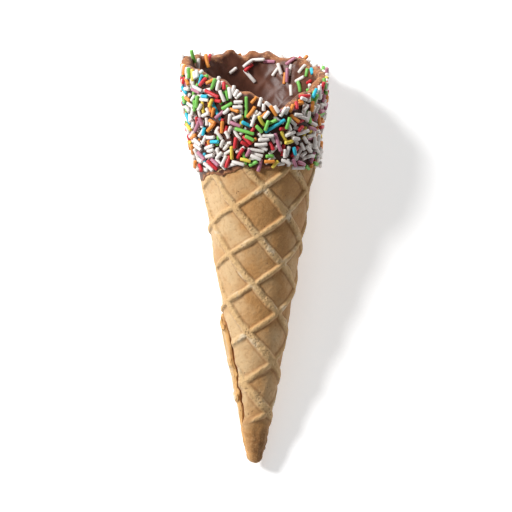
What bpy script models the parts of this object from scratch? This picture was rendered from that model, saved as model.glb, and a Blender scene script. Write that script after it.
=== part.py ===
"""An empty rolled ice cream cone, its mouth dipped in chocolate and sugar sprinkles.

A round wafer sheet, ribbed on its face, is rolled into a cone, so its rim is high on one side and
meets in a notch on the other. It lies on its back with the notch up and the mouth towards +Y.
Metres, +Z up. The origin is on the surface that the cone lies on, under the middle of its box.
"""

import math
import random

import bmesh
import bpy
from mathutils import Matrix, Vector

MM = 0.001
FULL_TURN = 2 * math.pi

# The rolled sheet. A turn is an angle round the cone, counted from the sheet's longest line.
SHEET_LENGTH = 155.0 * MM
SHEET_THICKNESS = 1.6 * MM
HALF_ANGLE = math.radians(9.2)
LONGEST_LINE_BEARING = math.radians(-158.4)
NOTCH_TURN = math.pi
CUT_END_TURN = math.radians(467)
CUT_CORNER = math.radians(35)
OUTLINE_RATE = 0.1735
FLAP_FULLNESS = 22.0 * MM
FLAP_FULL_FROM = math.radians(381)
FLAP_FULL_OVER = math.radians(75)
TIP_ROUND = 3.0 * MM
TIP_TIGHTNESS = 0.6
TIGHT_UP_TO = 50.0 * MM
HOLLOW_START = 13.0 * MM
HOLLOW_ROUND = 4.0 * MM
RIM_ROUND = 0.4 * MM
RIM_WAVES = ((7, 0.30 * MM, -0.6), (11, 0.45 * MM, 0.4), (16, 0.45 * MM, 1.3))

# Mesh rows along a wall, as shares of its length: finer where it starts at a closed end.
CLOSED_END_ROWS = (0, 0.0025, 0.009, 0.021, 0.12, 0.34, 1)

# The ribs are straight lines in the unrolled face, whose apex lies beyond the blunt tip.
FACE_HALF_ANGLE = math.radians(9.8)
FACE_APEX_BEYOND_TIP = 14.1 * MM
FIRST_CROSSING = Vector((-8.57, 111.3)) * MM
FALLING_RIB_STEP = Vector((9.44, -10.96)) * MM
RISING_RIB_STEP = Vector((-11.37, -7.50)) * MM
RIBS_EACH_WAY = 16
RIB_POINT_STEP = 0.12
RIBS_FROM = 8.0 * MM
RIB_BEND = math.radians(17)
RIB_BEND_NEAR_TIP = math.radians(13)
RIB_CLEAR_OF_EDGE = 1.4 * MM
RIB_CLEAR_OF_COAT = 1.2 * MM
RIB_SUNK = 0.5 * MM
NARROW_RIB = {"width": 2.8 * MM, "crest": 1.2 * MM, "height": 0.85 * MM}
BROAD_RIB = {"width": 3.8 * MM, "crest": 2.2 * MM, "height": 0.60 * MM}

# The chocolate on the mouth, kept apart from the wafer by the gap.
DIP_HEIGHT = 109.7 * MM
DIP_SLOPE = 0.116
DIP_WAVES = ((3, 0.6 * MM, 0.5), (8, 0.5 * MM, 2.0))
COAT_OFFSET = 0.95 * MM
COAT_EDGE_OFFSET = 0.66 * MM
COAT_FEATHER = 8.0 * MM
COAT_OVER_RIM = 0.9 * MM
STEP_COVER = 3.0 * MM
STEP_SOFTNESS = 4.5 * MM
COAT_OUTER_ROWS = 5
COAT_INNER_ROWS = 4
COAT_SHOULDER = 0.5 * MM
GAP = 0.40 * MM

SPRINKLE_RADIUS = 0.70 * MM
SPRINKLE_SIDES = 6
SPRINKLE_COUNT = 122
SPRINKLE_SPACING = 5.0 * MM
SPRINKLES_INSIDE = 0.06
INSIDE_REACH = 9.0 * MM
SPRINKLE_LONGEST = 8.0 * MM
SPRINKLE_USUAL = 4.8 * MM
SPRINKLE_FEW_LONG = 25
SPRINKLE_SHORTENING = 0.003 * MM
SPRINKLE_RIDE = 0.28 * MM
SPRINKLE_MARGIN = 1.0 * MM
SPRINKLE_BELOW_RIM = 0.5 * MM
SPRINKLE_OVER_RIM = 2.6 * MM
SPRINKLE_SEED = 11

# How it lies: the roll's axis rises by this tilt from a tip at this place.
RESTING_TILT = math.radians(8.76)
TIP_PLACE = Vector((0.57, -78.93, 4.95)) * MM
FLOOR_CUTTER = Vector((200, 400, 20)) * MM

SHARP_FROM = math.radians(32)
WAFER_COLOUR = (0.56, 0.35, 0.17, 1)
CHOCOLATE_COLOUR = (0.10, 0.04, 0.025, 1)


def smooth(x):
    """0 up to 0, 1 from 1 on, and an even ramp between."""
    x = min(1.0, max(0.0, x))
    return x * x * (3 - 2 * x)


def waves(turn, parts):
    return sum(size * math.cos(count * turn + phase) for count, size, phase in parts)


def sheet_edge(turn):
    """Distance along the wall from the tip to the sheet's edge, at a turn."""
    turn = abs(turn)
    reach = SHEET_LENGTH * math.cos(OUTLINE_RATE * turn)
    reach += FLAP_FULLNESS * smooth((turn - FLAP_FULL_FROM) / FLAP_FULL_OVER)
    reach += waves(turn, RIM_WAVES)
    corner = min(1.0, max(0.0, (turn - CUT_END_TURN) / CUT_CORNER + 1))
    return reach * (1 - corner**5) ** 0.2


def tightness(along):
    """The layers are pressed together towards the tip."""
    return TIP_TIGHTNESS + (1 - TIP_TIGHTNESS) * min(1.0, along / TIGHT_UP_TO)


def dome(along, start, length):
    """The rounding of a closed end: 0 at its start, 1 from its length on."""
    rest = 1 - min(1.0, max(0.0, (along - start) / length))
    return math.sqrt(1 - rest * rest)


def layer_radius(turn, along, face):
    """Radius of the sheet's inner face (0) or outer face (1), on the spiral of the roll."""
    layers = (turn + NOTCH_TURN) / FULL_TURN + face
    return along * math.sin(HALF_ANGLE) + layers * SHEET_THICKNESS * tightness(along)


def rolled(turn, along, radius):
    """A point of the cone, with the tip at the origin and the axis on +Y."""
    bearing = turn + LONGEST_LINE_BEARING
    height = along * math.cos(HALF_ANGLE)
    return Vector((radius * math.sin(bearing), height, radius * math.cos(bearing)))


def sheet_turns():
    """Turns of the mesh columns over one turn of the roll, the same on both sides of the longest line."""
    one_side = [10 * i for i in range(10)] + [97, 102.5] + [116 + 9.1 * i for i in range(7)]
    one_side = [math.radians(turn) for turn in one_side] + [CUT_END_TURN - FULL_TURN, NOTCH_TURN]
    return sorted({-turn for turn in one_side} | set(one_side))


def add_patch(bm, columns):
    """Faces between neighbouring columns of points, each column a list of the same length."""
    rows = [[bm.verts.new(point) for point in column] for column in columns]
    for left, right in zip(rows, rows[1:]):
        for i in range(len(left) - 1):
            bm.faces.new((left[i], right[i], right[i + 1], left[i + 1]))


def wall_rows(foot, top, closed_end):
    """Distances along one mesh column of a wall, finer where it starts at a closed end."""
    last = len(CLOSED_END_ROWS) - 1
    shares = CLOSED_END_ROWS if foot <= closed_end else [i / last for i in range(last + 1)]
    return [foot + (top - foot) * share for share in shares]


def finished_mesh(name, bm):
    bmesh.ops.remove_doubles(bm, verts=bm.verts, dist=0.002 * MM)
    bmesh.ops.recalc_face_normals(bm, faces=bm.faces)
    mesh = bpy.data.meshes.new(name)
    bm.to_mesh(mesh)
    bm.free()
    return mesh


def outer_point(turn, along):
    return rolled(turn, along, layer_radius(turn, along, 1) * dome(along, 0, TIP_ROUND))


def inner_point(turn, along):
    return rolled(turn, along, layer_radius(turn, along, 0) * dome(along, HOLLOW_START, HOLLOW_ROUND))


def rim_section(turn):
    """Across the sheet's rim. At the notch the two layers cross, so each takes a point of the other."""
    edge = sheet_edge(turn)
    if turn >= NOTCH_TURN:
        return [outer_point(turn, edge), outer_point(-turn, edge), inner_point(turn, edge)]
    if turn <= -NOTCH_TURN:
        return [outer_point(turn, edge), inner_point(-turn, edge), inner_point(turn, edge)]
    lip = edge - RIM_ROUND
    middle = (outer_point(turn, edge) + inner_point(turn, edge)) / 2
    return [outer_point(turn, lip), middle, inner_point(turn, lip)]


def rim_lip(turn):
    """Where the faces end: at the edge itself on the overlap, and short of the rounded rim elsewhere."""
    return sheet_edge(turn) - (RIM_ROUND if abs(turn) < NOTCH_TURN else 0)


def wafer_mesh(name):
    """The rolled sheet as one solid, with its touching layers fused."""
    cut = CUT_END_TURN - FULL_TURN
    turns = sheet_turns()
    base = [turn for turn in turns if turn <= cut]
    overlap = [turn + FULL_TURN for turn in base]
    flap = [turn for turn in turns if turn >= cut] + overlap[1:]
    bm = bmesh.new()

    def add_wall(point, feet, tops, closed_end):
        columns = []
        for (turn, foot), top in zip(feet, tops):
            columns.append([point(turn, along) for along in wall_rows(foot, top, closed_end)])
        add_patch(bm, columns)

    def inner_edge(turn):
        return max(HOLLOW_START, sheet_edge(turn))

    add_wall(outer_point, [(t, 0) for t in flap], [rim_lip(t) for t in flap], 0)
    add_wall(outer_point, [(t, sheet_edge(t + FULL_TURN)) for t in base], [rim_lip(t) for t in base], 0)
    tops = [max(HOLLOW_START, rim_lip(t)) for t in flap]
    add_wall(inner_point, [(-t, HOLLOW_START) for t in flap], tops, HOLLOW_START)
    feet = [(-t, inner_edge(t + FULL_TURN)) for t in base]
    add_wall(inner_point, feet, [rim_lip(t) for t in base], HOLLOW_START)

    step = [(outer_point(t, sheet_edge(t)), outer_point(t - FULL_TURN, sheet_edge(t))) for t in overlap]
    add_patch(bm, step)
    step = [(inner_point(-t, inner_edge(t)), inner_point(FULL_TURN - t, inner_edge(t))) for t in overlap]
    add_patch(bm, step)
    add_patch(bm, [rim_section(t) for t in turns])
    return finished_mesh(name, bm)


def swollen(mesh, gap):
    """A copy of a mesh, grown by about the gap all round."""
    bm = bmesh.new()
    bm.from_mesh(mesh)
    moves = [vert.normal * gap for vert in bm.verts]
    for vert, move in zip(bm.verts, moves):
        vert.co += move
    grown = bpy.data.meshes.new(mesh.name + "_swollen")
    bm.to_mesh(grown)
    bm.free()
    return grown


def on_face(flat_point):
    """(turn, distance along the wall) of a point of the unrolled face."""
    bearing = math.atan2(flat_point.x, flat_point.y) / math.sin(FACE_HALF_ANGLE)
    return bearing - LONGEST_LINE_BEARING, flat_point.length - FACE_APEX_BEYOND_TIP


def dip_line(bearing):
    """Distance along the wall to the chocolate's lower border, a slanting and wavy line."""
    across = DIP_HEIGHT * math.tan(FACE_HALF_ANGLE) * math.sin(bearing)
    height = DIP_HEIGHT + DIP_SLOPE * across + waves(bearing, DIP_WAVES)
    return height / math.cos(HALF_ANGLE)


def shows_below_chocolate(turn, along):
    """Whether a point of the face is on the outermost layer, on the sheet and below the chocolate."""
    if not RIBS_FROM < along < dip_line(turn + LONGEST_LINE_BEARING) - RIB_CLEAR_OF_COAT:
        return False
    if turn > CUT_END_TURN - FULL_TURN:
        return turn < CUT_END_TURN and along < sheet_edge(turn) - RIB_CLEAR_OF_EDGE
    return turn > -NOTCH_TURN and along > sheet_edge(turn + FULL_TURN) + RIB_CLEAR_OF_EDGE


def rib_runs(start, along_rib):
    """Unbroken runs of (turn, along) points of one rib, where it shows."""
    runs = [[]]
    steps = round(RIBS_EACH_WAY / RIB_POINT_STEP)
    for i in range(-steps, steps):
        turn, along = on_face(start + along_rib * (i * RIB_POINT_STEP))
        if shows_below_chocolate(turn, along):
            runs[-1].append((turn, along))
        elif runs[-1]:
            runs.append([])
    return [run for run in runs if len(run) > 2]


def rib_stations(run):
    """The points of a run where its bar bends: each a set turn on from the last, more near the tip."""
    stations = run[:1]
    for turn, along in run[1:-1]:
        bend = RIB_BEND + RIB_BEND_NEAR_TIP * (1 - along / DIP_HEIGHT)
        if min(abs(turn - stations[-1][0]), abs(turn - run[-1][0])) > bend:
            stations.append((turn, along))
    return stations + run[-1:]


def rib_mesh(name, run, shape):
    """A low bar with sloping sides that follows the wall and is sunk into it."""
    points = [outer_point(turn, along) for turn, along in rib_stations(run)]
    last = len(points) - 1
    bm = bmesh.new()
    sections = []
    for i, point in enumerate(points):
        tangent = (points[min(i + 1, last)] - points[max(i - 1, 0)]).normalized()
        outward = Vector((point.x, 0, point.z)).normalized()
        outward -= tangent * outward.dot(tangent)
        outward.normalize()
        side = tangent.cross(outward)
        foot = side * (shape["width"] / 2) - outward * RIB_SUNK
        foot_across = -side * (shape["width"] / 2) - outward * RIB_SUNK
        crest = side * (shape["crest"] / 2) + outward * shape["height"]
        crest_across = -side * (shape["crest"] / 2) + outward * shape["height"]
        corners = (foot, crest, crest_across, foot_across)
        sections.append([bm.verts.new(point + corner) for corner in corners])
    for first, second in zip(sections, sections[1:]):
        for i in range(4):
            j = (i + 1) % 4
            bm.faces.new((first[i], first[j], second[j], second[i]))
    bm.faces.new(sections[0][::-1])
    bm.faces.new(sections[-1])
    return finished_mesh(name, bm)


def make_ribs():
    """Two families of straight ribs that cross, each rib a separate bar."""
    ribs = []
    families = (
        (FALLING_RIB_STEP, RISING_RIB_STEP, NARROW_RIB),
        (RISING_RIB_STEP, FALLING_RIB_STEP, BROAD_RIB),
    )
    for step, along_rib, shape in families:
        for number in range(-RIBS_EACH_WAY, RIBS_EACH_WAY):
            for run in rib_runs(FIRST_CROSSING + step * number, along_rib):
                ribs.append(add_object("rib", rib_mesh("rib", run, shape)))
    return ribs


def coat_top(turn):
    return sheet_edge(turn) + COAT_OVER_RIM


def coat_offset(turn, along):
    above_border = along - dip_line(turn + LONGEST_LINE_BEARING)
    return COAT_EDGE_OFFSET + (COAT_OFFSET - COAT_EDGE_OFFSET) * smooth(above_border / COAT_FEATHER)


def covered_radius(turn, along, side):
    """Radius of the wafer on one side (1 outside, -1 inside), its step at the overlap softened."""
    face = 1 if side > 0 else 0
    past_edge = along - sheet_edge(turn + side * FULL_TURN) - STEP_COVER
    share = 1 - smooth(past_edge / STEP_SOFTNESS)
    base = layer_radius(turn, along, face)
    overlap = layer_radius(turn + side * FULL_TURN, along, face)
    return base + (overlap - base) * share


def coat_radius(turn, along, side):
    return covered_radius(turn, along, side) + side * coat_offset(turn, along)


def coat_point(turn, along, side):
    return rolled(turn, along, coat_radius(turn, along, side))


def dip_mesh(name):
    """A ring over the mouth, from the dip line to just above the rim. The wafer is cut out of it."""
    columns = []
    for turn in sheet_turns():
        foot = dip_line(turn + LONGEST_LINE_BEARING)
        top = coat_top(turn)
        shoulder = top - COAT_SHOULDER
        up = [foot + (shoulder - foot) * row / COAT_OUTER_ROWS for row in range(COAT_OUTER_ROWS + 1)]
        down = [shoulder + (foot - shoulder) * row / COAT_INNER_ROWS for row in range(COAT_INNER_ROWS + 1)]
        outside = coat_point(turn, top, 1)
        inside = coat_point(turn, top, -1)
        column = [coat_point(turn, along, 1) for along in up]
        column += [outside.lerp(inside, share) for share in (0.25, 0.75)]
        column += [coat_point(turn, along, -1) for along in down]
        columns.append(column + column[:1])
    bm = bmesh.new()
    add_patch(bm, columns)
    return finished_mesh(name, bm)


def sprinkle_length(number):
    """The longest come first: a few long ones, then the usual length, which falls slowly."""
    extra = (SPRINKLE_LONGEST - SPRINKLE_USUAL) * math.exp(-number / SPRINKLE_FEW_LONG)
    return extra + SPRINKLE_USUAL - SPRINKLE_SHORTENING * number


def throw_sprinkles():
    """Places of sprinkles spread evenly over the chocolate, by seeded throws."""
    rng = random.Random(SPRINKLE_SEED)
    places, centres = [], []
    spacing = SPRINKLE_SPACING
    while len(places) < SPRINKLE_COUNT:
        side = -1 if rng.random() < SPRINKLES_INSIDE else 1
        turn = rng.uniform(-NOTCH_TURN, NOTCH_TURN)
        along = rng.uniform(DIP_HEIGHT, SHEET_LENGTH)
        heading = rng.uniform(0, math.pi)
        length = sprinkle_length(len(places))
        reach = length / 2 * math.sin(heading)
        rim = coat_top(turn)
        border = dip_line(turn + LONGEST_LINE_BEARING) if side > 0 else rim - INSIDE_REACH
        highest = rim - max(SPRINKLE_BELOW_RIM, reach - SPRINKLE_OVER_RIM)
        if not border + SPRINKLE_MARGIN + reach < along < highest:
            continue
        centre = coat_point(turn, along, side)
        if any((centre - other).length < spacing for other in centres):
            spacing *= 0.9995
            continue
        places.append((turn, along, side, heading, length))
        centres.append(centre)
    return places


def sprinkle_mesh(name, place):
    """A short rod with domed ends that lies along the chocolate, sunk a little into it."""
    turn, along, side, heading, length = place
    radius = coat_radius(turn, along, side)
    ends = []
    for half in (-length / 2, length / 2):
        end_turn = turn + half * math.cos(heading) / radius
        end_along = along + half * math.sin(heading)
        end_radius = coat_radius(end_turn, end_along, side) + side * SPRINKLE_RIDE
        ends.append(rolled(end_turn, end_along, end_radius))
    lengthwise = ends[1] - ends[0]
    half_length = lengthwise.length / 2
    bm = bmesh.new()
    bmesh.ops.create_cone(
        bm,
        cap_ends=True,
        cap_tris=True,
        segments=SPRINKLE_SIDES,
        radius1=SPRINKLE_RADIUS,
        radius2=SPRINKLE_RADIUS,
        depth=2 * half_length - SPRINKLE_RADIUS,
    )
    for vert in bm.verts:
        if vert.co.xy.length < SPRINKLE_RADIUS / 2:
            vert.co.z = math.copysign(half_length, vert.co.z)
    aim = lengthwise.to_track_quat("Z", "Y").to_matrix().to_4x4()
    bm.transform(Matrix.Translation((ends[0] + ends[1]) / 2) @ aim)
    return finished_mesh(name, bm)


def clear_scene():
    for obj in list(bpy.data.objects):
        bpy.data.objects.remove(obj)


def add_object(name, mesh):
    obj = bpy.data.objects.new(name, mesh)
    bpy.context.scene.collection.objects.link(obj)
    return obj


def apply_boolean(obj, operation, others):
    """One Boolean with a collection of the other solids, applied, after which they are removed."""
    group = bpy.data.collections.new(obj.name + "_others")
    bpy.context.scene.collection.children.link(group)
    for other in others:
        bpy.context.scene.collection.objects.unlink(other)
        group.objects.link(other)
    modifier = obj.modifiers.new("join", "BOOLEAN")
    modifier.operation = operation
    modifier.operand_type = "COLLECTION"
    modifier.collection = group
    bpy.context.view_layer.objects.active = obj
    bpy.ops.object.modifier_apply(modifier=modifier.name)
    for other in others:
        bpy.data.objects.remove(other)
    bpy.data.collections.remove(group)


def drop_scraps(obj):
    """Keeps the largest body of a mesh, without the loose scraps that a union can leave."""
    bm = bmesh.new()
    bm.from_mesh(obj.data)
    loose = set(bm.verts)
    bodies = []
    while loose:
        body = {loose.pop()}
        front = list(body)
        while front:
            near = {edge.other_vert(vert) for vert in front for edge in vert.link_edges} - body
            body |= near
            front = list(near)
        loose -= body
        bodies.append(body)
    bodies.sort(key=len)
    bmesh.ops.delete(bm, geom=[vert for body in bodies[:-1] for vert in body], context="VERTS")
    bm.to_mesh(obj.data)
    bm.free()


def make_material(name, colour, roughness):
    material = bpy.data.materials.new(name)
    material.use_nodes = True
    shader = material.node_tree.nodes["Principled BSDF"]
    shader.inputs["Base Color"].default_value = colour
    shader.inputs["Roughness"].default_value = roughness
    shader.inputs["Metallic"].default_value = 0.0
    return material


def lay_down(obj):
    """Tilts the roll onto its back, and trims what would reach below the surface to small flat spots."""
    tilt = Matrix.Rotation(RESTING_TILT, 4, "X")
    obj.data.transform(Matrix.Translation(TIP_PLACE) @ tilt)
    bm = bmesh.new()
    bmesh.ops.create_cube(bm, size=1.0)
    bm.transform(Matrix.Diagonal((*FLOOR_CUTTER, 1)))
    bm.transform(Matrix.Translation((0, 0, -FLOOR_CUTTER.z / 2)))
    floor = add_object("floor_cutter", finished_mesh("floor_cutter", bm))
    apply_boolean(obj, "DIFFERENCE", [floor])


def make_waffle_cone(plain_wafer):
    wafer = add_object("waffle_cone", plain_wafer.copy())
    apply_boolean(wafer, "UNION", make_ribs())
    wafer.data.materials.append(make_material("wafer", WAFER_COLOUR, 0.75))
    return wafer


def make_chocolate_dip(plain_wafer):
    coat = add_object("chocolate_dip", dip_mesh("chocolate_dip"))
    sprinkles = [add_object("sprinkle", sprinkle_mesh("sprinkle", place)) for place in throw_sprinkles()]
    apply_boolean(coat, "UNION", sprinkles)
    apply_boolean(coat, "DIFFERENCE", [add_object("wafer_cutter", swollen(plain_wafer, GAP))])
    coat.data.materials.append(make_material("chocolate", CHOCOLATE_COLOUR, 0.4))
    return coat


def main():
    clear_scene()
    plain_wafer = wafer_mesh("plain_wafer")
    for solid in (make_waffle_cone(plain_wafer), make_chocolate_dip(plain_wafer)):
        lay_down(solid)
        drop_scraps(solid)
        solid.data.shade_smooth()
        solid.data.set_sharp_from_angle(angle=SHARP_FROM)


main()
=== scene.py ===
"""The looks of an empty rolled ice cream cone, dipped in chocolate and sugar sprinkles.

The wafer, the chocolate and the sprinkles stand for the two solids of the frame. Metres, +Z up: the
cone lies on its back, with its mouth towards +Y and the notch of its rim up.
"""

import math
import random

import bpy
import numpy as np
from mathutils import Matrix, Vector, noise
from mathutils.kdtree import KDTree


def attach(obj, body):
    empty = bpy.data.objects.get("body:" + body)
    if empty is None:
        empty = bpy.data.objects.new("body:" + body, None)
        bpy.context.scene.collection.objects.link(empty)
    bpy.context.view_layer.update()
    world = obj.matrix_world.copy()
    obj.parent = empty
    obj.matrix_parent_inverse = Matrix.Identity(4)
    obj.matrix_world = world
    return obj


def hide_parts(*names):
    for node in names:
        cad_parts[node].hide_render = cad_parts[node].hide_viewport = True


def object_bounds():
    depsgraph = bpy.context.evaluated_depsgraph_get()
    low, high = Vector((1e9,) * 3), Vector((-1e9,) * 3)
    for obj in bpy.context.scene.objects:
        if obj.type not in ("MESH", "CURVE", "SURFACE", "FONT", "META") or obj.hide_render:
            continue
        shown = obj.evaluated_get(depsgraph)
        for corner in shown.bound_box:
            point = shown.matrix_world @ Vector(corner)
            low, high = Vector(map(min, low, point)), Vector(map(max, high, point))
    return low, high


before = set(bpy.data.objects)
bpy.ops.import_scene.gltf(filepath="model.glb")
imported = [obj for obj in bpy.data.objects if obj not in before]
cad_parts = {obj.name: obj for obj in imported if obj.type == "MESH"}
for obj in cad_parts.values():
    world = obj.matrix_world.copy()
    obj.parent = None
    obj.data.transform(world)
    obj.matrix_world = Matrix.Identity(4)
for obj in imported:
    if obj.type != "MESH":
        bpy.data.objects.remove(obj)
cad_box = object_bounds()

MM = 0.001
FULL_TURN = 2 * math.pi

# The rolled sheet. A turn is an angle round the cone, counted from the sheet's longest line.
SHEET_LENGTH = 155.0 * MM
SHEET_THICKNESS = 1.6 * MM
HALF_ANGLE = math.radians(9.2)
LONGEST_LINE_BEARING = math.radians(-158.4)
NOTCH_TURN = math.pi
CUT_END_TURN = math.radians(458)
CUT_TURN = CUT_END_TURN - FULL_TURN
CUT_CORNER = math.radians(35)
CUT_CORNER_SHARE = 0.95
OUTLINE_RATE = 0.1735
FLAP_FULLNESS = 19.5 * MM
FLAP_FULL_FROM = math.radians(381)
FLAP_FULL_OVER = math.radians(75)
TIP_ROUND = 2.4 * MM
TIP_TIGHTNESS = 0.72
TIGHT_UP_TO = 50.0 * MM
HOLLOW_START = 13.0 * MM
HOLLOW_ROUND = 4.0 * MM
RIM_ROUND = 0.4 * MM
RIM_WAVES = ((7, 0.30 * MM, -0.6), (11, 0.45 * MM, 0.4), (16, 0.45 * MM, 1.3))

# How it lies, as in the frame: the roll's axis rises by this tilt from the tip.
RESTING_TILT = math.radians(8.76)
TIP_PLACE = Vector((0.57, -78.93, 4.95)) * MM
LYING = Matrix.Translation(TIP_PLACE) @ Matrix.Rotation(RESTING_TILT, 4, "X")

# The ribs are straight lines in the unrolled face, whose apex lies beyond the blunt tip.
FACE_HALF_ANGLE = math.radians(9.8)
FACE_APEX_BEYOND_TIP = 14.1 * MM
FIRST_CROSSING = Vector((-8.57, 111.3)) * MM
FALLING_RIB_STEP = Vector((9.44, -10.96)) * MM
RISING_RIB_STEP = Vector((-11.37, -7.50)) * MM
NARROW_RIB = {"width": 2.9 * MM, "slope": 1.15 * MM, "height": 1.00 * MM}
BROAD_RIB = {"width": 3.5 * MM, "slope": 1.05 * MM, "height": 0.85 * MM}
BESIDE = -5.0
RIBS_FROM = 9.0 * MM
RIBS_FULL_AT = 18.0 * MM
SOFT_RIBS_BELOW = 62.0 * MM
SOFT_RIBS_OVER = 26.0 * MM
NUB_LENGTH = 4.4 * MM
NUB_STEP = 0.45 * MM

# Soft ridges of the sheet's other face, which show through the chocolate inside, as seen there.
INNER_CROSSING = Vector((-8.3, 155.8)) * MM
INNER_RISE = math.radians(38)
INNER_FALL = math.radians(45)
INNER_SPACING = 6.2 * MM
INNER_RIDGE = {"width": 3.5 * MM, "slope": 1.75 * MM, "height": 0.32 * MM}

# Mesh columns of the wafer between the turns where its layers begin and end, and rows along it.
COLUMNS_TO_CUT = 49
COLUMNS_BETWEEN_CUTS = 143
ROWS_BESIDE_CUT = 64
ROWS_BELOW_DIP = 140
ROWS_UNDER_COAT = 10
INNER_ROWS = 16
STEP_ROWS = 6

# The free edge of the outer layer: a lip over a crack.
EDGE_FRAY = 0.9 * MM
EDGE_FRAY_WINDOW = math.radians(28)
CRACK_DEPTH = 0.55 * MM
CRACK_WIDTH = 1.35 * MM
SWELL_BY_CRACK = 0.55 * MM
SWELL_NEAR_TIP = 0.95 * MM
CRACK_FROM = 12.0 * MM
CRACK_FULL_OVER = 8.0 * MM
LIP_ROUND = 0.55 * MM
LIP_OVERHANG = 0.25 * MM

# The chocolate on the mouth.
DIP_HEIGHT = 109.7 * MM
DIP_SLOPE = 0.116
DIP_WAVES = ((3, 0.6 * MM, 0.5), (8, 0.5 * MM, 2.0))
COAT_OFFSET = 0.95 * MM
COAT_EDGE_OFFSET = 0.66 * MM
COAT_FEATHER = 8.0 * MM
COAT_OVER_RIM = 0.9 * MM
STEP_COVER = 3.0 * MM
STEP_SOFTNESS = 4.5 * MM
RIM_ROUNDING = 1.9 * MM
RIM_THINNING = 0.85 * MM
COAT_COLUMNS = 320
COAT_OUTER_ROWS = 74
COAT_RIM_ROWS = 4
COAT_INNER_ROWS = 70

# Bumps of the chocolate's rim: bearing in degrees, height in millimetres, half the width in degrees.
RIM_BUMPS = ((201, 2.4, 4.0), (182, 2.1, 5.5), (170, 2.1, 5.5), (149, 1.6, 5.0), (131, 1.0, 5.0))

# The sprinkles. The first ones lie where the frame's do, and the rest fill in between and over them.
SPRINKLE_RADIUS = 0.70 * MM
FRAME_SPRINKLES = 122
MOST_SPRINKLES = 1200
RIM_TRIES = 3000
SPRINKLE_TRIES = 9000
SPRINKLE_SPACING = 5.0 * MM
SPRINKLES_INSIDE = 0.06
INSIDE_REACH = 9.0 * MM
SPRINKLE_LONGEST = 8.0 * MM
SPRINKLE_USUAL = 4.8 * MM
SPRINKLE_FEW_LONG = 25
SPRINKLE_SHORTENING = 0.003 * MM
SPRINKLE_RIDE = 0.28 * MM
SPRINKLE_MARGIN = 1.0 * MM
SPRINKLE_BELOW_RIM = 0.5 * MM
SPRINKLE_OVER_RIM = 2.6 * MM
SPRINKLE_SEED = 11
FILL_LENGTHS = (2.8 * MM, 5.0 * MM)
FILL_INSIDE = 0.0015
FILL_BELOW_RIM = 0.1 * MM
FILL_OVER_RIM = 3.6 * MM
FILL_OVER_BORDER = 1.5 * MM
RIM_BAND = 2.2 * MM
FILL_HEADINGS = 3
LIFT_STEPS = (0.0, 0.5 * MM, 1.0 * MM, 1.6 * MM)
TOUCHING = 0.88
SUPPORTED = 1.12
SUNK_AT_MOST = 0.9 * MM
ROD_SIDES = 8
ROD_ROUNDING = 0.26 * MM
ROD_BENDS = (0, 0, 0, 9, 17, 28)
# Share of the sprinkles, and colour.
SUGAR_COLOURS = {
    "white": (0.52, (0.90, 0.84, 0.79)),
    "green": (0.10, (0.22, 0.61, 0.11)),
    "red": (0.11, (0.68, 0.03, 0.04)),
    "orange": (0.08, (0.87, 0.31, 0.05)),
    "pink": (0.07, (0.56, 0.22, 0.31)),
    "yellow": (0.035, (0.87, 0.68, 0.09)),
    "blue": (0.04, (0.03, 0.54, 0.72)),
}

# Sprinkles that stand out in the photograph: colour, side (1 outside, -1 inside), place across and
# up from the tip and length in millimetres, and heading in degrees, all as seen from the camera.
NOTED_SPRINKLES = (
    ("green", 1, -3.5, 133.0, 8.2, 88),
    ("green", 1, -10.7, 138.3, 5.8, 92),
    ("red", 1, -15.4, 138.0, 6.2, -26),
    ("green", 1, -4.0, 124.0, 7.0, -18),
    ("blue", 1, 6.6, 126.0, 8.4, 34),
    ("pink", 1, 7.7, 120.0, 7.2, -72),
    ("green", 1, -19.4, 144.2, 4.8, 10),
    ("orange", 1, -1.6, 131.0, 5.0, 55),
    ("green", -1, -24.0, 152.8, 5.4, 118),
    ("orange", -1, -19.4, 151.4, 5.4, 90),
    ("white", -1, -2.4, 146.0, 6.4, -50),
    ("white", -1, 0.9, 152.2, 5.2, 2),
    ("white", -1, -3.3, 150.8, 4.8, 36),
    ("red", -1, -3.1, 149.2, 4.2, 38),
    ("white", -1, -8.8, 148.0, 3.6, 36),
    ("pink", -1, 12.6, 146.2, 5.6, 90),
    ("orange", -1, 11.0, 145.0, 4.6, 90),
    ("white", -1, 7.6, 147.8, 4.6, 54),
    ("white", -1, 9.6, 148.6, 4.8, -68),
    ("white", -1, 16.8, 144.6, 4.8, 21),
    ("green", -1, 17.0, 141.8, 4.4, -74),
    ("white", -1, 13.4, 140.4, 4.4, -78),
    ("white", -1, 17.6, 148.6, 4.4, 42),
    ("green", -1, 19.4, 147.0, 3.2, 86),
    ("red", -1, 20.4, 143.4, 3.0, 18),
)

# The photograph: its scale, the point of the cone's axis in its middle, and the lens.
PHOTO_WIDTH = 192.0 * MM
MIDDLE_FROM_TIP = 77.8 * MM
LENS_MM = 400.0
SENSOR_MM = 36.0
CAMERA_REACH = 20.0

# The lights: the side that each one comes from, and its power.
LIT_MIDDLE = 90.0 * MM
LIGHT_DISTANCE = 2.4
LIGHT_SIZE = 0.60
KEY_LIGHT = (Vector((-0.71, 0.32, 0.63)), 68.0)
TOP_LIGHT = (Vector((0.15, 0.92, 0.36)), 20.0)
WORLD_LIGHT = 0.22
FLOOR_SIZE = 6.0
FLOOR_GLOW = 0.42

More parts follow.
